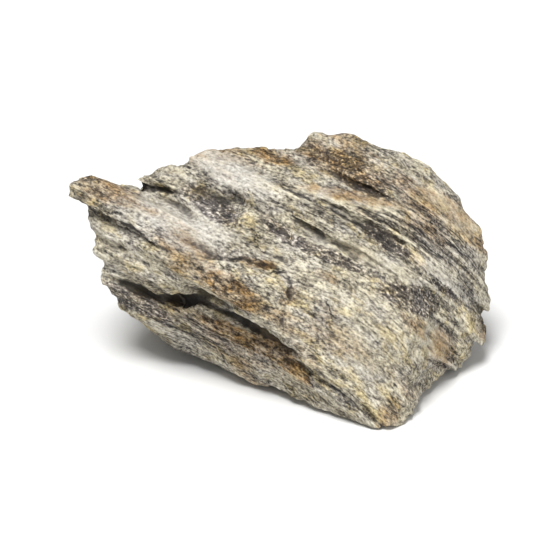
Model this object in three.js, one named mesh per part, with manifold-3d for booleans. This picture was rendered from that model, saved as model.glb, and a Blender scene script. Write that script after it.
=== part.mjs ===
// Fossil aquascape stone: one angular chunk of banded, wood-like rock.
// Millimetres, +Z up. The stone lies on a flat broken patch on its underside, with its broad
// face leaning back and its beds dipping down to the right, so that their ends stand out as ledges.
// The origin is under the middle of the stone, on the surface it lies on.
import * as THREE from "three";
import { ConvexHull } from "three/addons/math/ConvexHull.js";
import { ImprovedNoise } from "three/addons/math/ImprovedNoise.js";
import { mergeVertices } from "three/addons/utils/BufferGeometryUtils.js";
import Module from "manifold-3d";

// Driving dimensions of the rough block, from which the beds are carved.
const stoneWidth = 150; // left tip to right side
const cornerRounding = 1.3; // how softly the broad faces meet
const radialSteps = 84; // points round each bed
const ledgeSlope = 0.35; // half the height of the sloping step between two beds
const edgeWear = 0.8; // how far a bed's two edges are worn back from its middle
const ringSpacing = 3.2; // about how far apart the points of one bed are in height
const calmRadius = 30; // beds that are narrower than this stand out less

// The bedding: grainDirection runs along the streaks, bedNormal points from older to younger beds.
const bedDip = THREE.MathUtils.degToRad(33);
const bedHeading = THREE.MathUtils.degToRad(37);
const bedNormal = new THREE.Vector3(
  Math.sin(bedDip) * Math.cos(bedHeading),
  Math.sin(bedDip) * Math.sin(bedHeading),
  Math.cos(bedDip),
);
const grainDirection = new THREE.Vector3(0.87, -0.23, -0.44).projectOnPlane(bedNormal).normalize();
const acrossDirection = new THREE.Vector3().crossVectors(bedNormal, grainDirection);
const bendStart = 4; // along the grain, where the beds begin to bend down to the right
const bendRate = 0.0085; // how fast they bend from there, per mm

// Corners of the rough block before the beds are carved, x to the right, y to the back, z up.
const corners = [
  // the rim that is seen from the front, from the left tip over the top to the right foot
  [-76, -13, 72],
  [-73, -9, 76],
  [-68, -4, 78],
  [-46, 10, 74],
  [-24, 17, 76],
  [12, 19, 85],
  [32, 17, 81],
  [47, 17, 75],
  [62, 14, 62],
  [73, 9, 48],
  [76, 4, 31],
  [76, -4, 12],
  [72, -8, 1],
  [66, -14, -2],
  // the foot and the lower left edge
  [49, -42, 0],
  [38, -56, -3],
  [44, -52, -2],
  [24, -50, -2],
  [2, -30, 2],
  [-17, -20, 1],
  [-50, -8, 14],
  [-65, -16, 34],
  [-65, -14, 60],
  // swellings of the broad front face
  [2, -47, 35],
  [47, -41, 38],
  [-38, -31, 56],
  [36, -21, 64],
  [-8, -13, 71],
  // the back, which leans on nothing
  [-46, 28, 0],
  [-56, 30, 34],
  [-42, 40, 54],
  [-10, 51, 18],
  [2, 49, 60],
  [44, 52, 8],
  [47, 42, 54],
  [70, 24, 22],
  [62, 14, -3],
  [30, 52, -2],
  [-22, 46, -2],
];

// The beds from the lowest up. top is a bed's upper surface, counted along bedNormal. The other
// four say how far the bed stands out (or, below 0, lies back) at its left end, front, right end
// and back. The left end is given at the bed's lower and at its upper edge.
const lowestBed = -12;
const beds = [
  { top: -8, left: [0, 0], front: -1, right: 0, back: 0 },
  { top: -3, left: [0, 0], front: -3, right: 0, back: 1 },
  { top: 1, left: [1, 1], front: -1, right: 0, back: -1 },
  { top: 4.5, left: [0, -1], front: 1, right: 0, back: 1 }, // the dark plate at the lower left
  { top: 13, left: [-2, -6], front: 1, right: 0, back: 0 },
  { top: 22.5, left: [-8, -10], front: 1, right: -1, back: 2 },
  { top: 27, left: [2, 2], front: 1, right: -2, back: 3 }, // the nose
  { top: 33, left: [2, 1], front: 1, right: -1, back: 1 },
  { top: 37, left: [-13, -13], front: 0, right: -3, back: -2 }, // the crack over the nose
  { top: 46.5, left: [-7, -4], front: 1, right: -2, back: 2 },
  { top: 50.5, left: [-5, -4], front: -2, right: -2, back: 0 },
  { top: 58, left: [-5, -1], front: 2, right: 1, back: 3 },
  { top: 61, left: [-1, -2], front: -2, right: -2, back: 0 },
  { top: 67, left: [-2, -6], front: 1, right: 1, back: 1 },
  { top: 71, left: [-8, -7], front: -3, right: -1, back: -2 },
  { top: 79.5, left: [-9, -1], front: 2, right: 1, back: 2 }, // the knob on top
  { top: 83, left: [-2, -3], front: -1, right: -1, back: -1 },
  { top: 86.5, left: [-3, -3], front: 0, right: 1, back: 1 },
];

// Two edges cross the beds on the front face. Each is a line of [along, height] points.
const shelfLine = [
  [-66, 6],
  [-54, 5],
  [-47, 9],
  [-40, 14.5],
  [-35, 16],
  [-22, 13.5],
  [-1, 13],
  [4, 9],
  [12, 2],
  [20, -2],
];
const shelfDepth = 13; // the groove over the lower ledge reaches this far back under the face
const stepLine = [
  [-50, 21],
  [-34, 27],
  [-15, 33],
];
const stepDepth = 4; // and the face lies this far back over its middle step

// Hollows broken out of the face: where each one is, how far it runs along and up, how deep. A
// depth below 0 makes a bulge.
const hollows = [
  { at: [-46, -23, 56], along: 13, up: 8, deep: -3 }, // the left bulge
  { at: [-12, -37, 44], along: 15, up: 10, deep: -3 }, // the swelling in the middle of the face
  { at: [-55, -2, 70.5], along: 8, up: 2.5, deep: 5 }, // the crack over the nose
  { at: [-42, -5, 69], along: 8, up: 2.5, deep: 6 },
  { at: [-23, -7, 68], along: 11, up: 4, deep: 10 }, // the dark cave under the upper beds
  { at: [-52, -20, 61.5], along: 7, up: 2, deep: 4 }, // the slit in the left bulge
  { at: [0, -21, 62], along: 6, up: 3, deep: 3 }, // the notch in the middle of the face
  { at: [38, -21, 57], along: 14, up: 3, deep: 3 }, // the dark band on the right
  { at: [48, -28, 38], along: 12, up: 5, deep: 2.5 }, // the dark patch under it
  { at: [37, -4, 70], along: 9, up: 3, deep: 3 }, // the shade under the knob
  { at: [6, -43, 5], along: 10, up: 8, deep: 9 }, // the corner left of the foot
  { at: [56, -28, 3], along: 8, up: 9, deep: 3 }, // and right of it
];

// Two patches of the front face and one on the right are worn smooth, so the beds hardly stand
// out there.
const smoothPatches = [
  [-12, -36, 44],
  [28, -42, 30],
  [64, -6, 42],
];
const smoothRadius = 24;

const noise = new ImprovedNoise();
const roughness = (p, size) => noise.noise(p.x / size + 7.3, p.y / size + 1.9, p.z / size + 4.1);
const smoothstep = THREE.MathUtils.smoothstep;

// The broad faces of the rough block, as planes.
const block = new ConvexHull().setFromPoints(corners.map((c) => new THREE.Vector3(...c)));
const faces = block.faces.map((face) => ({ normal: face.normal, constant: face.constant }));

// How far a point is outside the rough block, with softly rounded edges (below 0 inside).
function outsideBlock(point) {
  let sum = 0;
  for (const face of faces) {
    sum += Math.exp((face.normal.dot(point) - face.constant) / cornerRounding);
  }
  return cornerRounding * Math.log(sum);
}

// A point of the bedding: along and across a bed, and its height over the lowest corner of the
// front foot.
function bedPoint(along, across, height) {
  const bend = -0.5 * bendRate * Math.max(along - bendStart, 0) ** 2;
  return new THREE.Vector3()
    .addScaledVector(grainDirection, along)
    .addScaledVector(acrossDirection, across)
    .addScaledVector(bedNormal, height + bend);
}

// The line inside the block that all beds are measured from.
const bedMiddle = (height) => ({ along: 0.4 * height - 24, across: 0.05 * height - 11.5 });

// The distance from the middle of a bed to the surface of the rough block, in one direction.
function reach(height, angle, middle) {
  let near = 0;
  let far = stoneWidth;
  for (let step = 0; step < 26; step++) {
    const half = (near + far) / 2;
    const point = bedPoint(
      middle.along + half * Math.cos(angle),
      middle.across + half * Math.sin(angle),
      height,
    );
    if (outsideBlock(point) < 0) near = half;
    else far = half;
  }
  return near;
}

// How far a bed stands out in one direction. 0 is its right end, a quarter turn is its back.
// share runs from 0 at the bed's lower edge to 1 at its upper edge.
function standOut(bed, share, angle) {
  const c = Math.cos(angle);
  const s = Math.sin(angle);
  const left = THREE.MathUtils.lerp(bed.left[0], bed.left[1], share);
  const ends = c > 0 ? bed.right * c * c : left * c ** 4;
  const sides = s > 0 ? bed.back * s * s : bed.front * s * s;
  return ends + sides;
}

// The height of an edge line at a place along the grain.
function lineHeight(line, along) {
  let height = along < line[0][0] ? line[0][1] : line[line.length - 1][1];
  for (let i = 0; i + 1 < line.length; i++) {
    const share = (along - line[i][0]) / (line[i + 1][0] - line[i][0]);
    if (share >= 0 && share <= 1) height = THREE.MathUtils.lerp(line[i][1], line[i + 1][1], share);
  }
  return height;
}

// How far the front face lies back at the two edges that cross the beds.
function edgeDepth(along, height, angle) {
  const front = smoothstep(-Math.sin(angle), 0.1, 0.5);
  const overShelf = height - lineHeight(shelfLine, along);
  const nearShelf = smoothstep(along, -78, -62) * (1 - smoothstep(along, -10, 30));
  const groove = 0.6 + 0.4 * smoothstep(overShelf, -8, -2); // deepest right under the edge
  const shelf = (1 - smoothstep(overShelf, -1, 0.3)) * groove * nearShelf;
  const overStep = height - lineHeight(stepLine, along);
  const nearStep = smoothstep(along, -60, -46) * (1 - smoothstep(along, -18, -6));
  const step = smoothstep(overStep, -0.5, 1.5) * (1 - smoothstep(overStep, 4, 13)) * nearStep;
  return front * (shelfDepth * shelf + stepDepth * step);
}

function hollowDepth(point) {
  let depth = 0;
  for (const hollow of hollows) {
    const d = point.clone().sub(new THREE.Vector3(...hollow.at));
    const along = d.dot(grainDirection) / hollow.along;
    const up = d.dot(bedNormal) / hollow.up;
    const across = d.dot(acrossDirection) / (2 * hollow.along);
    depth += hollow.deep * Math.exp(-(along ** 2 + up ** 2 + across ** 2));
  }
  return depth;
}

// How sharply the beds stand out at a point, 1 everywhere but on the smooth patches.
function sharpness(point) {
  let worn = 0;
  for (const patch of smoothPatches) {
    const distance = point.distanceTo(new THREE.Vector3(...patch));
    worn += Math.exp(-((distance / smoothRadius) ** 2));
  }
  return 1 - Math.min(0.85, worn);
}

// One closed ring of points round a bed. share says how high up in the bed it lies, and worn how
// far it is worn back.
function bedRing(bed, index, height, share, worn) {
  const middle = bedMiddle(height);
  const points = [];
  for (let i = 0; i < radialSteps; i++) {
    const angle = (i / radialSteps) * 2 * Math.PI;
    const ray = { along: Math.cos(angle), across: Math.sin(angle) };
    const rough = reach(height, angle, middle);
    const along = middle.along + rough * ray.along;
    const onBlock = bedPoint(along, middle.across + rough * ray.across, height);
    // each bed breaks off on its own line, and that line is the same for its upper and lower edge
    const shift = new THREE.Vector3(0, 0, 31 * index);
    const breakLine = 2.4 * roughness(onBlock.clone().add(shift), 19);
    const ledge = sharpness(onBlock) * (standOut(bed, share, angle) + breakLine - worn);
    const lumps = 2.4 * roughness(onBlock, 23);
    const chips = 1.7 * roughness(onBlock, 9);
    const hollow = edgeDepth(along, height, angle) + hollowDepth(onBlock);
    const calm = smoothstep(rough, 0, calmRadius);
    const radius = Math.max(rough + calm * (ledge + lumps + chips) - hollow, 1.5);
    points.push(
      bedPoint(middle.along + radius * ray.along, middle.across + radius * ray.across, height),
    );
  }
  return { points, middle: bedPoint(middle.along, middle.across, height) };
}

// A ring drawn in towards its middle, with a slightly uneven surface.
function innerRing(ring, share) {
  const points = ring.points.map((p) => {
    const point = p.clone().lerp(ring.middle, 1 - share);
    return point.addScaledVector(bedNormal, 3 * roughness(point, 13));
  });
  return { points, middle: ring.middle };
}

// All rings from the lowest bed to the highest.
const rings = [];
beds.forEach((bed, index) => {
  const bottom = index ? beds[index - 1].top : lowestBed;
  const low = bottom + ledgeSlope;
  const high = bed.top - ledgeSlope;
  const bands = Math.round((high - low) / ringSpacing);
  for (let band = 0; band <= bands; band++) {
    const share = band / bands;
    const atEdge = band === 0 || band === bands;
    const worn = bands > 1 && atEdge ? edgeWear : 0;
    rings.push(bedRing(bed, index, low + share * (high - low), share, worn));
  }
});
rings.unshift(innerRing(rings[0], 0.5));
rings.push(innerRing(rings[rings.length - 1], 0.7), innerRing(rings[rings.length - 1], 0.35));

// A closed skin over the rings, with a fan over each end.
function skin(rings) {
  const positions = rings.flatMap((ring) => ring.points.flatMap((p) => p.toArray()));
  const faces = [];
  for (let r = 0; r + 1 < rings.length; r++) {
    for (let i = 0; i < radialSteps; i++) {
      const next = (i + 1) % radialSteps;
      const a = r * radialSteps + i;
      const b = r * radialSteps + next;
      const c = a + radialSteps;
      const d = b + radialSteps;
      if ((i + r) % 2) faces.push(a, b, d, a, d, c);
      else faces.push(a, b, c, b, d, c);
    }
  }
  for (const [r, turned] of [
    [0, true],
    [rings.length - 1, false],
  ]) {
    const middle = positions.length / 3;
    positions.push(...rings[r].middle.toArray());
    for (let i = 0; i < radialSteps; i++) {
      const a = r * radialSteps + i;
      const b = r * radialSteps + ((i + 1) % radialSteps);
      faces.push(...(turned ? [b, a, middle] : [a, b, middle]));
    }
  }
  const geometry = new THREE.BufferGeometry();
  geometry.setAttribute("position", new THREE.Float32BufferAttribute(positions, 3));
  geometry.setIndex(faces);
  return geometry;
}

// manifold-3d cuts the underside flat.
const wasm = await Module();
wasm.setup();

function toSolid(geometry) {
  const bare = geometry.clone();
  bare.deleteAttribute("normal");
  bare.deleteAttribute("uv");
  const merged = mergeVertices(bare, 1e-4);
  return new wasm.Manifold(
    new wasm.Mesh({
      numProp: 3,
      vertProperties: merged.attributes.position.array,
      triVerts: new Uint32Array(merged.index.array),
    }),
  );
}

function toGeometry(solid) {
  const mesh = solid.getMesh();
  const geometry = new THREE.BufferGeometry();
  geometry.setAttribute("position", new THREE.BufferAttribute(mesh.vertProperties, 3));
  geometry.setIndex(new THREE.BufferAttribute(mesh.triVerts, 1));
  return geometry;
}

const underground = new THREE.BoxGeometry(4 * stoneWidth, 4 * stoneWidth, stoneWidth);
underground.translate(0, 0, -stoneWidth / 2);
const stoneGeometry = toGeometry(toSolid(skin(rings)).subtract(toSolid(underground)));

// The origin goes under the middle of the stone.
stoneGeometry.computeBoundingBox();
const middle = stoneGeometry.boundingBox.getCenter(new THREE.Vector3());
stoneGeometry.translate(-middle.x, -middle.y, 0);
stoneGeometry.computeVertexNormals();

const stoneMaterial = new THREE.MeshStandardMaterial({
  color: 0x9c968a,
  roughness: 0.9,
  metalness: 0,
  flatShading: true,
});
const stone = new THREE.Mesh(stoneGeometry, stoneMaterial);
stone.name = "stone";

const part = new THREE.Group();
part.add(stone);
export default part;
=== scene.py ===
import math

import bmesh
import bpy
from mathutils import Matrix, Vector


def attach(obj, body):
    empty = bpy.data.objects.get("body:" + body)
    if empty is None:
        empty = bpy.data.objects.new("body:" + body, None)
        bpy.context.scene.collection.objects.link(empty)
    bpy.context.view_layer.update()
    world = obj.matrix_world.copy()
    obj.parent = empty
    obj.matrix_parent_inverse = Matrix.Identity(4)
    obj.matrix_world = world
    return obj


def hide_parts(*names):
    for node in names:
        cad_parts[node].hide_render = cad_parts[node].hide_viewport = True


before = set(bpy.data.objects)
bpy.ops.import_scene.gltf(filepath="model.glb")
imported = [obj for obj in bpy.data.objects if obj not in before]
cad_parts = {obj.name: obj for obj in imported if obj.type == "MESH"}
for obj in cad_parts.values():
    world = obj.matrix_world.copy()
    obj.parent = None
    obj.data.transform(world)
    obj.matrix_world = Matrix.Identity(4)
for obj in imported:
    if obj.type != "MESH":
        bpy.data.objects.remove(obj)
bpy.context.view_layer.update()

millimetre = 0.001

# The stone's beds dip to the right and to the back, and bend down at the right end.
bedding = {
    "origin": (-1.6, 0.7, 0.0),  # mm, the lowest corner of the front foot's bed
    "dip": 33,  # degrees
    "heading": 37,
    "grain": (0.87, -0.23, -0.44),  # the streaks run this way
    "bendFrom": 4,  # mm along the grain
    "bend": 0.0085,  # per mm
    "warp": 2.4,  # mm, how wavy the beds are
    "warpSize": 30,
}

dip = math.radians(bedding["dip"])
heading = math.radians(bedding["heading"])
bedNormal = Vector(
    (
        math.sin(dip) * math.cos(heading),
        math.sin(dip) * math.sin(heading),
        math.cos(dip),
    )
)
grain = Vector(bedding["grain"])
grain = (grain - bedNormal * grain.dot(bedNormal)).normalized()
acrossGrain = bedNormal.cross(grain)


# A socket of a node tree. Arithmetic on it adds the Math nodes.
class Wire:
    def __init__(self, tree, socket):
        self.tree = tree
        self.socket = socket

    def math(self, operation, *others, clamp=False):
        settings = {"operation": operation, "use_clamp": clamp}
        return self.tree.node("ShaderNodeMath", settings, dict(enumerate([self, *others])))

    def __add__(self, other):
        return self.math("ADD", other)

    def __radd__(self, other):
        return self.math("ADD", other)

    def __sub__(self, other):
        return self.math("SUBTRACT", other)

    def __rsub__(self, other):
        return self.tree.node(
            "ShaderNodeMath", {"operation": "SUBTRACT"}, {0: other, 1: self}
        )

    def __mul__(self, other):
        return self.math("MULTIPLY", other)

    def __rmul__(self, other):
        return self.math("MULTIPLY", other)

    # 0 below low, 1 above high, with a soft ramp between
    def ramp(self, low, high):
        return self.tree.node(
            "ShaderNodeMapRange",
            {"interpolation_type": "SMOOTHSTEP"},
            {"Value": self, "From Min": low, "From Max": high},
        )


# A node tree that is built by script.
class Tree:
    def __init__(self, data):
        self.data = data

    def node(self, kind, settings=None, values=None, out=0):
        node = self.data.nodes.new(kind)
        for name, value in (settings or {}).items():
            if name == "stops":
                setStops(node.color_ramp, value)
            else:
                setattr(node, name, value)
        for name, value in (values or {}).items():
            socket = node.inputs[name]
            if isinstance(value, Wire):
                self.data.links.new(value.socket, socket)
            else:
                socket.default_value = value
        return Wire(self, node.outputs[out]) if node.outputs else None

    def vector(self, operation, first, *others, out=0):
        values = dict(enumerate([first, *others]))
        return self.node("ShaderNodeVectorMath", {"operation": operation}, values, out)

    def dot(self, first, second):
        return self.vector("DOT_PRODUCT", first, tuple(second), out=1)

    # noise of about one lump per size, in mm along, across and over the beds
    def noise(self, place, size, seed, detail=2.0, roughness=0.5, out=0):
        sizes = size if isinstance(size, tuple) else (size,) * 3
        scale = tuple(1 / s for s in sizes)
        shift = (3.7 * seed, 1.3 * seed, 5.1 * seed)
        values = {
            "Vector": self.vector("MULTIPLY_ADD", place, scale, shift),
            "Scale": 1.0,
            "Detail": detail,
            "Roughness": roughness,
        }
        return self.node("ShaderNodeTexNoise", None, values, out)

    def mix(self, kind, factor, first, second):
        settings = {"data_type": "RGBA", "blend_type": kind}
        values = {"Factor": factor, 6: first, 7: second}
        return self.node("ShaderNodeMix", settings, values, out=2)


def setStops(ramp, stops):
    while len(ramp.elements) < len(stops):
        ramp.elements.new(0.5)
    for element, (place, color) in zip(ramp.elements, stops):
        element.position = place
        element.color = (*color, 1)


# Where a point lies in the rock, in mm: along the grain, across it, and over the lowest bed. The
# same with wavy beds, and with ragged edges for marks, come with it.
def rockPlace(tree, position):
    inMillimetres = tree.vector("MULTIPLY", position, (1 / millimetre,) * 3)
    row = tree.vector("SUBTRACT", inMillimetres, bedding["origin"])
    along = tree.dot(row, grain)
    beyond = (along - bedding["bendFrom"]).math("MAXIMUM", 0.0)
    bend = beyond * beyond * (0.5 * bedding["bend"])
    wave = (tree.noise(row, bedding["warpSize"], 1) - 0.5) * (2 * bedding["warp"])
    height = tree.dot(row, bedNormal) + bend
    values = {"X": along, "Y": tree.dot(row, acrossGrain), "Z": height}
    even = tree.node("ShaderNodeCombineXYZ", None, values)
    wavy = tree.vector("ADD", even, tree.node("ShaderNodeCombineXYZ", None, {"Z": wave}))
    fray = tree.noise(even, 5.0, 7, 2.0, 0.6, out=1)
    ragged = tree.vector("MULTIPLY_ADD", fray, (7.0, 7.0, 3.2), even)
    ragged = tree.vector("SUBTRACT", ragged, (3.5, 3.5, 1.6))
    return even, wavy, ragged


# Named places on the front, in mm: at is along, across and over the beds, size is the half size
# in the same directions, tilt is how fast the mark climbs over the beds to the right.
# Cracks are cut into the surface by their depth, and the same depth paints shade into them.
cracks = {
    "over the nose": {"at": (-65, -33, 38), "size": (14, 12, 1.5), "tilt": 0.28, "deep": 2.4},
    "cave": {"at": (-45, -34, 45), "size": (11, 12, 3.6), "tilt": 0.0, "deep": 1.2},
    "left slit": {"at": (-66, -47, 23.8), "size": (8, 8, 1.2), "tilt": -0.03, "deep": 2.4},
    "middle notch": {"at": (-18, -43, 45.3), "size": (8, 8, 1.6), "tilt": -0.1, "deep": 1.0},
    "streak under it": {"at": (5, -46, 46), "size": (14, 10, 1.2), "tilt": 0.08, "deep": 0.6},
    "right band": {"at": (17, -39, 59), "size": (12, 12, 2.6), "tilt": 0.0, "deep": 0.6},
    "fine split": {"at": (-15, -41, 53.4), "size": (20, 12, 0.9), "tilt": 0.05, "deep": 0.9},
    "under the streak": {"at": (44, -28, 57.6), "size": (13, 14, 0.9), "tilt": 0.0, "deep": 1.0},
    "under the knob": {"at": (-1, -26, 70.6), "size": (20, 12, 1.2), "tilt": 0.05, "deep": 0.9},
    "shelf left": {"at": (-53, -31, 3.2), "size": (13, 13, 2.6), "tilt": 0.05, "deep": 2.4},
    "shelf rise": {"at": (-37, -34, 7.8), "size": (11, 13, 3.6), "tilt": 0.45, "deep": 2.4},
    "shelf": {"at": (-12, -43, 10.4), "size": (26, 15, 2.3), "tilt": 0.0, "deep": 2.0},
    "step": {"at": (-36, -49, 26.7), "size": (14, 8, 0.9), "tilt": 0.4, "deep": 1.0},
    "face line": {"at": (-22, -48, 31.6), "size": (13, 9, 0.9), "tilt": 0.27, "deep": 1.3},
    "face crack": {"at": (-6.3, -53, 29), "size": (3.2, 10, 2.0), "tilt": -2.0, "deep": 1.4},
    "short crack": {"at": (-3.5, -55.7, 18), "size": (0.9, 10, 2.8), "tilt": 0.0, "deep": 1.2},
    "foot pit": {"at": (12, -54, 11.8), "size": (3.0, 8, 0.9), "tilt": 0.0, "deep": 1.3},
}
lumps = {
    "end of the upper layer": {"at": (-71, -31, 44), "size": (8, 12, 5), "tilt": 0.0, "rise": -2.6},
    "knob left": {"at": (-22, -14, 78.5), "size": (6, 8, 4), "tilt": 0.0, "rise": 1.3},
    "knob right": {"at": (-9.5, -15, 83.3), "size": (5, 8, 3), "tilt": 0.0, "rise": 1.0},
}
smoothed = {
    "middle": {"at": (-20, -50, 23.5), "size": (40, 30, 20), "tilt": 0.0, "much": 1.0},
    "lower right": {"at": (26, -50, 24), "size": (38, 28, 25), "tilt": 0.0, "much": 1.0},
    "left face": {"at": (-54, -43, 34), "size": (30, 20, 11), "tilt": 0.1, "much": 1.0},
    "upper layer": {"at": (-45, -30, 56), "size": (26, 16, 6), "tilt": 0.0, "much": 0.7},
    "nose": {"at": (-78, -40, 30), "size": (18, 16, 8), "tilt": 0.1, "much": 0.6},
    "pale streak": {"at": (10, -43, 50.3), "size": (28, 14, 3.4), "tilt": 0.12, "much": 0.8},
    "knob": {"at": (-4, -24, 75), "size": (28, 18, 9), "tilt": 0.0, "much": 0.9},
}
laminated = {
    "upper right": {"at": (34, -28, 68), "size": (48, 36, 20), "tilt": 0.0, "much": 1.0},
    "middle": {"at": (-8, -38, 57), "size": (36, 20, 9), "tilt": 0.1, "much": 1.0},
    "lower ledge": {"at": (-40, -32, 0), "size": (34, 24, 9), "tilt": 0.0, "much": 0.8},
    "foot": {"at": (28, -50, 7), "size": (26, 16, 6), "tilt": 0.05, "much": 0.9},
    "right side": {"at": (50, -28, 42), "size": (18, 22, 13), "tilt": 0.0, "much": 0.9},
}
seamed = {
    "face": {"at": (-8, -50, 30), "size": (46, 22, 17), "tilt": 0.0, "much": 1.0},
    "left face": {"at": (-50, -44, 22), "size": (22, 20, 12), "tilt": 0.0, "much": 0.6},
}
pale = {
    "upper layer": {"at": (-45, -30, 55.5), "size": (30, 20, 7), "tilt": 0.0, "much": 1.0},
    "layer end": {"at": (-61, -31, 46), "size": (13, 12, 5), "tilt": 0.0, "much": 0.6},
    "left face": {"at": (-54, -43, 34), "size": (28, 20, 8.5), "tilt": 0.12, "much": 0.85},
    "left face low": {"at": (-41, -49, 27), "size": (15, 14, 6), "tilt": 0.0, "much": 0.65},
    # painted light under the nose, lifting its shading from the fill side
    "under the nose": {"at": (-78, -38, 17), "size": (11, 12, 7), "tilt": 0.0, "much": 0.45},
    "nose": {"at": (-77, -41, 29), "size": (15, 14, 6), "tilt": 0.1, "much": 0.15},
    "bulge": {"at": (-62, -41, 14), "size": (18, 18, 7), "tilt": -0.3, "much": 0.5},
    "middle": {"at": (-18, -48, 36), "size": (24, 18, 5), "tilt": 0.05, "much": 0.5},
    "lower right": {"at": (25, -50, 28), "size": (26, 24, 20), "tilt": 0.0, "much": 0.5},
    "foot": {"at": (36, -50, 15), "size": (16, 20, 8), "tilt": 0.0, "much": 0.25},
    # painted light on the right lower facet, lifting the side that faces away from the key
    "facet": {"at": (48, -33, 42), "size": (16, 18, 7), "tilt": 0.0, "much": 0.9},
    "facet low": {"at": (45, -40, 37), "size": (16, 16, 7), "tilt": 0.0, "much": 0.6},
    "streak": {"at": (11, -43, 50.6), "size": (30, 14, 3.6), "tilt": 0.12, "much": 1.25},
    "right streak": {"at": (43, -25, 60), "size": (22, 18, 1.5), "tilt": 0.0, "much": 1.0},
    "tan band": {"at": (-1, -32, 65), "size": (28, 14, 3.6), "tilt": 0.25, "much": 1.0},
    "rim": {"at": (32, -12, 79), "size": (26, 18, 5.5), "tilt": 0.0, "much": 0.8},
}
grey = {
    "upper layer": {"at": (-45, -30, 55.5), "size": (30, 20, 8), "tilt": 0.0, "much": 1.0},
    "left face": {"at": (-52, -44, 32), "size": (32, 20, 13), "tilt": 0.12, "much": 1.0},
    "right streak": {"at": (43, -25, 60), "size": (24, 20, 4), "tilt": 0.0, "much": 0.6},
    "upper right": {"at": (40, -20, 70), "size": (26, 24, 9), "tilt": 0.0, "much": 0.6},
}
# Darker places of the rock. Some of them are painted shade, as marked.
dark = {
    # painted shade on the lower ledge, which the face above keeps from the light
    "lower ledge": {"at": (-20, -35, 0), "size": (54, 26, 9), "tilt": 0.0, "much": 0.1},
    # painted shade in the cave under the overhanging upper layer
    "cave": {"at": (-43, -37, 42), "size": (17, 15, 5.2), "tilt": -0.15, "much": 1.0},
    "nose tip": {"at": (-86, -40, 33), "size": (7, 14, 5), "tilt": 0.2, "much": 0.5},
    "nose top": {"at": (-71, -43, 31), "size": (10, 12, 4), "tilt": 0.1, "much": 0.4},
    "plate": {"at": (-55, -27, -2), "size": (20, 18, 5.5), "tilt": 0.0, "much": 1.0},
    "right band": {"at": (18, -39, 59), "size": (15, 14, 4.2), "tilt": 0.0, "much": 1.0},
    "right patch": {"at": (36, -41, 48.5), "size": (20, 20, 6.5), "tilt": 0.33, "much": 1.1},
    "notch": {"at": (-18, -42, 45.2), "size": (12, 12, 3.2), "tilt": -0.1, "much": 0.9},
    "under the pale streak": {"at": (0, -46, 45), "size": (21, 12, 3.2), "tilt": 0.06, "much": 1.0},
    "under the right streak": {"at": (44, -28, 57.2), "size": (14, 14, 1.6), "tilt": 0.0, "much": 0.9},
    "face": {"at": (-30, -46, 29.5), "size": (14, 12, 4), "tilt": 0.3, "much": 0.4},
    "stain": {"at": (-20, -54, 19), "size": (22, 16, 6), "tilt": 0.0, "much": 0.3},
    "knob": {"at": (-5, -24, 75), "size": (32, 18, 8), "tilt": 0.0, "much": 0.5},
    # painted shadow under the knob
    "under the knob": {"at": (0, -26, 71), "size": (20, 13, 2.2), "tilt": 0.07, "much": 0.5},
    "right side": {"at": (44, -24, 66), "size": (24, 20, 4.5), "tilt": 0.0, "much": 0.35},
    "right edge": {"at": (53, -26, 34), "size": (14, 14, 3), "tilt": 0.3, "much": 0.4},
}
rusty = {
    "middle stain": {"at": (-23, -54, 20), "size": (16, 16, 6.5), "tilt": -0.1, "much": 1.0},
    "face line": {"at": (-20, -48, 32), "size": (9, 10, 2.6), "tilt": 0.28, "much": 0.8},
    "face crack": {"at": (-5, -53, 27), "size": (3.5, 10, 6), "tilt": 0.0, "much": 0.6},
    "upper face": {"at": (4, -49, 39), "size": (8, 10, 3), "tilt": 0.0, "much": 0.5},
    "lower ledge": {"at": (2, -44, 6.5), "size": (18, 16, 4.5), "tilt": -0.3, "much": 1.0},
    "under the shelf": {"at": (-22, -36, 2), "size": (50, 24, 9), "tilt": 0.0, "much": 0.4},
    "ledge streak": {"at": (-12, -40, 5), "size": (24, 14, 3.6), "tilt": 0.04, "much": 1.0},
    "nose": {"at": (-78, -40, 31), "size": (18, 16, 8), "tilt": 0.1, "much": 0.6},
    "knob": {"at": (-9, -23, 74), "size": (28, 18, 8), "tilt": 0.0, "much": 0.65},
    "tan band": {"at": (0, -31, 66.5), "size": (28, 14, 3.4), "tilt": 0.28, "much": 0.6},
    "upper edge": {"at": (-33, -22, 66), "size": (13, 12, 4), "tilt": 0.1, "much": 0.8},
    "lower right": {"at": (16, -52, 22), "size": (22, 18, 7), "tilt": 0.0, "much": 0.4},
    "right side": {"at": (52, -27, 41), "size": (12, 20, 9), "tilt": 0.0, "much": 0.55},
    "right rim": {"at": (36, -10, 81.5), "size": (14, 14, 4), "tilt": 0.0, "much": 0.5},
    "foot": {"at": (45, -48, 12), "size": (7, 10, 10), "tilt": 0.0, "much": 0.5},
}


# 1 in the middle of a named place and 0 outside it.
def spot(tree, place, mark):
    along, across, height = mark["size"]
    off = tree.vector("SUBTRACT", place, mark["at"])
    flat = tree.vector("MULTIPLY", off, (1 / along, 1 / across, 0.0))
    sideways = tree.vector("LENGTH", flat, out=1)
    over = tree.dot(off, (-mark["tilt"] / height, 0.0, 1 / height))
    return (sideways * sideways + over * over).ramp(1.0, 0.0)


def spots(tree, place, marks, amount):
    total = 0.0
    for mark in marks.values():
        total = spot(tree, place, mark) * mark[amount] + total
    return total


# The marks of the front, with patches by chance on the sides that the photo doesn't show. A patch
# has a size along, across and over the beds, a seed, and covers more with a lower start.
behind = {
    "from": (-10, 8),  # mm across the grain
    "smoothed": {"size": (50, 40, 16), "seed": 30, "start": 0.5},
    "laminated": {"size": (60, 50, 16), "seed": 31, "start": 0.46},
    "pale": {"size": (48, 32, 8), "seed": 32, "start": 0.5},
    "dark": {"size": (38, 28, 6), "seed": 33, "start": 0.53},
    "rusty": {"size": (30, 26, 9), "seed": 34, "start": 0.56},
}


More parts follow.
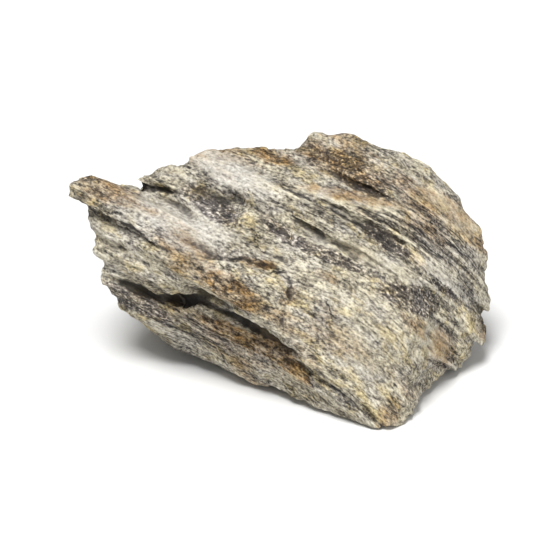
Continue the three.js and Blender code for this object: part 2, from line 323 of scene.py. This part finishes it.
def cover(tree, places, marks, name):
    even, wavy, ragged = places
    hidden = tree.node("ShaderNodeSeparateXYZ", None, {0: even}, out=1).ramp(*behind["from"])
    patch = behind[name]
    level = tree.noise(wavy, patch["size"], patch["seed"], 3.0)
    chance = level.ramp(patch["start"], patch["start"] + 0.1) * hidden
    place = even if name in ("smoothed", "laminated") else ragged
    return (spots(tree, place, marks, "much") + chance).math("MINIMUM", 1.0)


# Relief of the rock's surface, in mm, with the sizes along, across and over the beds.
relief = {
    "voxel": 0.65,  # mm, the spacing of the surface's points
    "keep": 0.66,  # share of the triangles that is kept, most of them along the edges
    "wornEdges": 1,  # smoothing steps over the facets
    "Layer depth": 0.7,
    "Lamina depth": 0.4,
    "Plate depth": 1.1,
    "Splinter depth": 0.8,
    "Flake depth": 0.65,
    "Grain depth": 0.6,
    "Line depth": 0.8,
    "Chip depth": 0.7,
    "Pit depth": 0.5,
    "Crack depth": 1.0,
    "Lump height": 1.0,
    "Shade depth": 0.4,
    "layerSize": (30.0, 26.0, 4.6),
    "laminaSize": (16.0, 12.0, 1.7),
    "plateSize": (30.0, 20.0, 6.0),
    "splinterSize": (15.0, 9.0, 2.6),
    "flakeSize": (6.0, 4.0, 1.6),
    "grainSize": (7.0, 3.0, 1.3),
    "lineSize": (34.0, 26.0, 2.4),
    "chipSize": 10.0,
    "pitSize": (4.6, 3.4, 2.4),
    "floorFade": 2.0,  # mm over the floor, under which the flat underside stays flat
}


# Thin lines along the beds, 1 in the line and 0 beside it.
def bedLines(tree, place, size, seed, width):
    level = (tree.noise(place, size, seed, 3.0) - 0.5).math("ABSOLUTE")
    return level.ramp(width, 0.0)


# Broken pieces of about one size, each with its own random level around 0.
def pieces(tree, place, size):
    scaled = tree.vector("MULTIPLY", place, tuple(1 / s for s in size))
    values = {"Vector": scaled, "Scale": 1.0}
    level = tree.node("ShaderNodeTexVoronoi", {"feature": "F1"}, values, out=1)
    return tree.node("ShaderNodeSeparateXYZ", None, {0: level}) - 0.5


# The seams between such pieces, 1 in the seam and 0 beside it, broken up along their way.
def seams(tree, place, size, seed, width):
    scaled = tree.vector("MULTIPLY", place, tuple(1 / s for s in size))
    values = {"Vector": scaled, "Scale": 1.0}
    edge = tree.node("ShaderNodeTexVoronoi", {"feature": "DISTANCE_TO_EDGE"}, values)
    return edge.ramp(width, 0.0) * tree.noise(place, size, seed).ramp(0.5, 0.62)


# A vector of the mesh's points averaged with its neighbours'.
def blurred(tree, kind, value, steps):
    values = {"Value": value, "Iterations": steps}
    return tree.node("GeometryNodeBlurAttribute", {"data_type": kind}, values)


def surfaceTree():
    data = bpy.data.node_groups.new("strataRelief", "GeometryNodeTree")
    face = data.interface
    face.new_socket("Geometry", in_out="INPUT", socket_type="NodeSocketGeometry")
    for name in [n for n in relief if n.endswith(("depth", "height"))]:
        face.new_socket(name, in_out="INPUT", socket_type="NodeSocketFloat")
    face.new_socket("Material", in_out="INPUT", socket_type="NodeSocketMaterial")
    face.new_socket("Geometry", in_out="OUTPUT", socket_type="NodeSocketGeometry")
    tree = Tree(data)
    source = data.nodes.new("NodeGroupInput")
    given = {socket.name: Wire(tree, socket) for socket in source.outputs if socket.name}

    position = tree.node("GeometryNodeInputPosition")
    places = rockPlace(tree, position)
    even, wavy, ragged = places
    fresh = 1.0 - cover(tree, places, smoothed, "smoothed") * 0.5

    layers = tree.noise(wavy, relief["layerSize"], 2, 2.0).ramp(0.45, 0.55) - 0.5
    laminae = tree.noise(wavy, relief["laminaSize"], 3, 3.0).ramp(0.42, 0.58) - 0.5
    ridges = tree.noise(wavy, relief["grainSize"], 4, 4.0, 0.6) - 0.5
    pits = tree.noise(wavy, relief["pitSize"], 5, 3.0).ramp(0.58, 0.7)
    chipPlace = tree.vector("MULTIPLY", even, (1 / relief["chipSize"],) * 3)
    chips = tree.node(
        "ShaderNodeTexVoronoi", {"feature": "F1"}, {"Vector": chipPlace, "Scale": 1.0}
    )
    push = layers * given["Layer depth"] + laminae * given["Lamina depth"]
    push = push + pieces(tree, ragged, relief["plateSize"]) * given["Plate depth"]
    push = push + pieces(tree, ragged, relief["splinterSize"]) * given["Splinter depth"]
    push = push + pieces(tree, ragged, relief["flakeSize"]) * given["Flake depth"]
    push = push * fresh + ridges * given["Grain depth"]
    split = cover(tree, places, laminated, "laminated") * 0.85 + 0.15
    push = push - bedLines(tree, wavy, relief["lineSize"], 8, 0.03) * split * given["Line depth"]
    push = push - (chips - 0.45) * given["Chip depth"]
    push = push - pits * given["Pit depth"]
    push = push - spots(tree, ragged, cracks, "deep") * given["Crack depth"]
    push = push + spots(tree, even, lumps, "rise") * given["Lump height"]
    shaded = cover(tree, places, dark, "dark")
    push = push - shaded * given["Shade depth"]
    push = blurred(tree, "FLOAT", push, 1)

    # nothing moves at the underside, which lies flat on the floor
    height = tree.node("ShaderNodeSeparateXYZ", None, {0: position}, out=2)
    lifted = height.ramp(0.2 * millimetre, relief["floorFade"] * millimetre)
    normal = blurred(tree, "FLOAT_VECTOR", tree.node("GeometryNodeInputNormal"), 1)
    offset = tree.vector("SCALE", tree.vector("NORMALIZE", normal))
    tree.data.links.new((push * lifted * millimetre).socket, offset.socket.node.inputs["Scale"])
    moved = tree.node("GeometryNodeSetPosition", None, {0: given["Geometry"], "Offset": offset})

    # how far each point lies under its surroundings, near and wide, for the painted shade in the
    # hollows and the painted highlight on the ridges
    stored = moved
    for name, steps in (("hollow", 8), ("cavity", 70)):
        after = tree.node("GeometryNodeInputPosition")
        lift = tree.vector("SUBTRACT", blurred(tree, "FLOAT_VECTOR", after, steps), after)
        outward = tree.node("GeometryNodeInputNormal")
        under = tree.vector("DOT_PRODUCT", lift, outward, out=1) * (1 / millimetre)
        values = {"Geometry": stored, "Name": name, "Value": under}
        settings = {"data_type": "FLOAT", "domain": "POINT"}
        stored = tree.node("GeometryNodeStoreNamedAttribute", settings, values)
    real = tree.node("GeometryNodeRealizeInstances", None, {0: stored})
    values = {"Geometry": real, "Material": given["Material"]}
    finished = tree.node("GeometryNodeSetMaterial", None, values)
    target = data.nodes.new("NodeGroupOutput")
    data.links.new(finished.socket, target.inputs[0])
    return data


# The rock's colours, from the darkest grain to the palest.
stoneLooks = {
    "tones": [
        (0.0, (0.022, 0.02, 0.02)),
        (0.25, (0.09, 0.084, 0.08)),
        (0.5, (0.25, 0.233, 0.209)),
        (0.75, (0.46, 0.436, 0.39)),
        (1.0, (0.66, 0.636, 0.58)),
    ],
    "rust": (0.86, 0.6, 0.34, 1),
    "ochre": (1.0, 0.9, 0.62, 1),
    "cream": (1.0, 0.955, 0.8, 1),
    "lilac": (1.0, 0.97, 1.0, 1),
    "rustTone": 0.2,
    "middle": 0.555,
    "paleTone": 0.77,
    "darkTone": 0.27,
    "bandSize": (60.0, 40.0, 5.0),
    "bands": 0.9,
    "lineSize": (60.0, 44.0, 1.7),
    "lines": 1.3,
    "thinLines": 0.35,
    "streakSize": (6.0, 3.6, 1.2),
    "streaks": 0.9,
    "blotchSize": (8.0, 7.0, 5.0),
    "blotches": 0.8,
    "speckSize": (1.5, 1.1, 0.8),
    "specks": 1.9,
    "seamSize": (21.0, 16.0, 8.0),
    "seams": 0.5,
    "glints": 0.5,
    "bump": 0.5,  # mm
}


def stoneMaterial():
    looks = stoneLooks
    material = bpy.data.materials.new("bandedStone")
    material.use_nodes = True
    data = material.node_tree
    data.nodes.clear()
    tree = Tree(data)
    coordinates = tree.node("ShaderNodeTexCoord", out="Object")
    places = rockPlace(tree, coordinates)
    even, wavy, ragged = places
    smooth = cover(tree, places, smoothed, "smoothed")

    bands = tree.noise(wavy, looks["bandSize"], 12, 3.0) - 0.5
    lines = tree.noise(wavy, looks["lineSize"], 13, 3.0) - 0.5
    streaks = tree.noise(wavy, looks["streakSize"], 14, 4.0, 0.6) - 0.5
    blotches = tree.noise(even, looks["blotchSize"], 20, 3.0, 0.6) - 0.5
    specks = tree.noise(even, looks["speckSize"], 15, 2.0, 0.65) - 0.5
    hollow = tree.node("ShaderNodeAttribute", {"attribute_name": "hollow"}, None, out=2)
    cavity = tree.node("ShaderNodeAttribute", {"attribute_name": "cavity"}, None, out=2)

    # the tone of the place, then the layers, blotches and specks in it
    # the rock's pale patches together with the painted light of the marked places
    light = (cover(tree, places, pale, "pale") + streaks * 0.6).ramp(0.1, 0.85)
    # the rock's dark patches together with the painted shade of the marked places
    shade = (cover(tree, places, dark, "dark") + streaks * 0.9).ramp(0.25, 0.65)
    split = cover(tree, places, laminated, "laminated")
    thin = bedLines(tree, wavy, relief["lineSize"], 8, 0.03) * (split * 0.85 + 0.15)
    calm = 1.0 - light * 0.5
    stain = tree.noise(even, (6.0, 5.0, 3.4), 16, 3.0, 0.6).ramp(0.35, 0.65)
    spread = tree.noise(wavy, (40.0, 34.0, 14.0), 17, 2.0).ramp(0.52, 0.7) * 0.5
    rust = cover(tree, places, rusty, "rusty").math("MAXIMUM", spread)
    rust = (rust + streaks * 0.6).ramp(0.1, 0.8)
    rust = rust * (stain * 0.6 + 0.4)
    tone = bands * looks["bands"] + lines * looks["lines"] * (split + 0.3)
    tone = tone * (1.0 - smooth * 0.6) - thin * looks["thinLines"]
    tone = tone + blotches * looks["blotches"] * (1.0 - split * 0.5) + looks["middle"]
    tone = tone + (looks["paleTone"] - tone) * light * 0.8
    tone = tone + (looks["darkTone"] - tone) * shade * 0.8
    tone = tone - rust * looks["rustTone"] + lines * looks["lines"] * split * 0.5
    tone = tone + streaks * looks["streaks"] * calm
    tone = tone + specks * looks["specks"] * (1.0 - light * 0.35 - split * 0.1)
    seam = seams(tree, ragged, looks["seamSize"], 22, 0.035)
    tone = tone - seam * (spots(tree, even, seamed, "much") + 0.15) * looks["seams"]
    # painted shade in the hollows and a painted highlight on the ridges, then painted shade in the
    # wide cavities
    tone = tone * (1.0 - hollow.ramp(0.05, 0.5) * 0.4) + hollow.ramp(-0.03, -0.4) * 0.1
    tone = tone * (1.0 - cavity.ramp(0.2, 2.0) * 0.5)
    # painted shade in the cracks and in the groove under the shelf, darker where they are deeper
    crackShade = spots(tree, ragged, cracks, "deep").ramp(0.5, 1.8)
    tone = tone * (1.0 - crackShade * 0.75)
    tone = tone + specks.ramp(0.05, 0.25) * shade * (1.0 - crackShade) * looks["glints"]
    color = tree.node("ShaderNodeValToRGB", {"stops": looks["tones"]}, {0: tone})

    yellow = tree.noise(even, (9.0, 8.0, 5.0), 23, 3.0, 0.6).ramp(0.5, 0.66)
    warm = tree.noise(even, (14.0, 12.0, 7.0), 21, 2.0, 0.6).ramp(0.35, 0.6)
    warm = warm * 0.6 + 0.4
    neutral = spots(tree, ragged, grey, "much").math("MINIMUM", 1.0)
    color = tree.mix("MULTIPLY", warm * (1.0 - neutral * 0.9), color, looks["cream"])
    yellow = yellow * (1.0 - light * 0.5) * (1.0 - neutral * 0.7) * 0.8
    color = tree.mix("MULTIPLY", yellow, color, looks["ochre"])
    # a lilac tint in the dark patches and in the painted shade
    color = tree.mix("MULTIPLY", shade * (1.0 - rust), color, looks["lilac"])
    color = tree.mix("MULTIPLY", rust, color, looks["rust"])

    rough = tree.noise(even, 3.0, 19, 2.0) * 0.16 + 0.8
    grainHeight = specks * 0.9 + streaks * 1.3 + lines * (split + 0.3) * 1.5
    bump = tree.node(
        "ShaderNodeBump",
        None,
        {"Height": grainHeight, "Strength": 1.0, "Distance": looks["bump"] * millimetre},
    )
    values = {
        "Base Color": color,
        "Roughness": rough,
        "Normal": bump,
        "IOR": 1.5,
        "Specular IOR Level": 0.3,
    }
    surface = tree.node("ShaderNodeBsdfPrincipled", None, values)
    tree.node("ShaderNodeOutputMaterial", None, {"Surface": surface})
    return material


def buildStone():
    # the CAD stone, joined up and covered with an even net of points
    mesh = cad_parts["stone"].data.copy()
    shape = bmesh.new()
    shape.from_mesh(mesh)
    bmesh.ops.remove_doubles(shape, verts=shape.verts, dist=0.001 * millimetre)
    shape.to_mesh(mesh)
    shape.free()
    rough = bpy.data.objects.new("roughStone", mesh)
    bpy.context.scene.collection.objects.link(rough)
    remesh = rough.modifiers.new("net", "REMESH")
    remesh.mode = "VOXEL"
    remesh.voxel_size = relief["voxel"] * millimetre
    remesh.use_smooth_shade = True
    worn = rough.modifiers.new("worn", "SMOOTH")
    worn.iterations = relief["wornEdges"]
    print("stone: net and worn edges")

    tree = surfaceTree()
    nodes = rough.modifiers.new("relief", "NODES")
    nodes.node_group = tree
    for item in tree.interface.items_tree:
        if item.in_out == "INPUT" and item.name in relief:
            nodes[item.identifier] = relief[item.name]
        if item.in_out == "INPUT" and item.name == "Material":
            nodes[item.identifier] = stoneMaterial()
    fewer = rough.modifiers.new("fewer", "DECIMATE")
    fewer.ratio = relief["keep"]
    seen = rough.evaluated_get(bpy.context.evaluated_depsgraph_get())
    finished = bpy.data.meshes.new_from_object(seen)
    bpy.data.objects.remove(rough)

    lowest = min(v.co.z for v in finished.vertices)
    for vertex in finished.vertices:
        vertex.co.z = max(vertex.co.z - min(lowest, 0), 0)
    finished.polygons.foreach_set("use_smooth", [True] * len(finished.polygons))
    stone = bpy.data.objects.new("bandedStone", finished)
    bpy.context.scene.collection.objects.link(stone)
    triangles = sum(len(p.vertices) - 2 for p in finished.polygons)
    print("stone: relief,", triangles, "triangles")
    return stone


studio = {
    "target": (0.0, 0.0, 0.031),
    "elevation": 28,  # degrees, as in the photo
    "distance": 1.2,
    "lens": 215,
    "floorColor": (0.72, 0.72, 0.715, 1),
    "worldStrength": 0.35,
    "key": {"from": (-0.15, -0.35, 0.9), "angle": 23, "power": 4.0},
    "fill": {"from": (0.6, -0.8, 0.5), "angle": 60, "power": 0.7},
}


def buildStudio():
    scene = bpy.context.scene
    target = Vector(studio["target"])
    bpy.ops.mesh.primitive_plane_add(size=6)
    floor = bpy.context.object
    floor.name = "paleFloor"
    material = bpy.data.materials.new("paleFloor")
    material.use_nodes = True
    shader = material.node_tree.nodes["Principled BSDF"]
    shader.inputs["Base Color"].default_value = studio["floorColor"]
    shader.inputs["Roughness"].default_value = 0.9
    floor.data.materials.append(material)

    world = bpy.data.worlds.new("studio")
    world.use_nodes = True
    scene.world = world
    world.node_tree.nodes["Background"].inputs["Color"].default_value = (1, 1, 1, 1)
    world.node_tree.nodes["Background"].inputs["Strength"].default_value = studio["worldStrength"]

    for name in ("key", "fill"):
        light = studio[name]
        data = bpy.data.lights.new(name, "SUN")
        data.energy = light["power"]
        data.angle = math.radians(light["angle"])
        lamp = bpy.data.objects.new(name, data)
        lamp.rotation_euler = Vector(light["from"]).to_track_quat("Z", "Y").to_euler()
        scene.collection.objects.link(lamp)

    elevation = math.radians(studio["elevation"])
    backward = Vector((0, -math.cos(elevation), math.sin(elevation)))
    data = bpy.data.cameras.new("photoCamera")
    data.lens = studio["lens"]
    data.sensor_width = 36
    camera = bpy.data.objects.new("photoCamera", data)
    camera.location = target + backward * studio["distance"]
    camera.rotation_euler = (-backward).to_track_quat("-Z", "Y").to_euler()
    scene.collection.objects.link(camera)
    scene.camera = camera
    scene.view_settings.view_transform = "Standard"
    print("studio: floor, lights and camera")
    return floor


stone = buildStone()
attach(stone, "root")
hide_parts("stone")
buildStudio()
